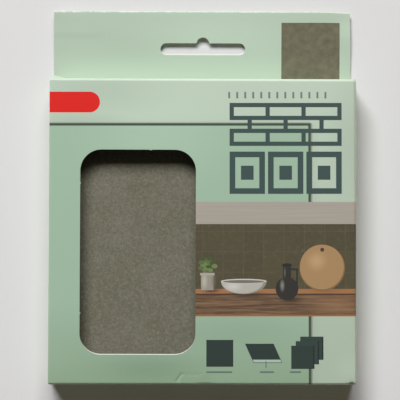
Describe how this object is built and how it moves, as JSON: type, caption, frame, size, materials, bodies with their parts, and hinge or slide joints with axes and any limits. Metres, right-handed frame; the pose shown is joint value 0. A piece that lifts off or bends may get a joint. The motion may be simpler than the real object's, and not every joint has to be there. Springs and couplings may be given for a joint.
{
  "type": "pack of peel and stick wall tiles",
  "caption": "Hang-tab carton with a display window, holding a stack of square self-adhesive vinyl wall tiles, each on its own release liner.",
  "frame": {"origin": "middle of the box's back panel, on the surface that the lying pack rests on; the hang tab isn't counted", "axes": "+X to the right of the pack's front, +Y towards the hang tab, +Z out of the front panel"},
  "size_m": [0.1568, 0.1927, 0.021],
  "materials": {
    "carton_board": "green printed folding boxboard, satin varnish, white board core on the cut edges",
    "tile_vinyl": "matt olive grey print with a fine leather-like grain",
    "liner_paper": "waxed release paper"
  },
  "bodies": {
    "root": {"carton": "carton_board", "release_liner_1": "liner_paper", "tile_1": "tile_vinyl", "release_liner_2": "liner_paper", "tile_2": "tile_vinyl", "release_liner_3": "liner_paper", "tile_3": "tile_vinyl", "release_liner_4": "liner_paper", "tile_4": "tile_vinyl", "release_liner_5": "liner_paper", "tile_5": "tile_vinyl", "release_liner_6": "liner_paper", "tile_6": "tile_vinyl", "release_liner_7": "liner_paper", "tile_7": "tile_vinyl", "release_liner_8": "liner_paper", "tile_8": "tile_vinyl"}
  },
  "joints": []
}
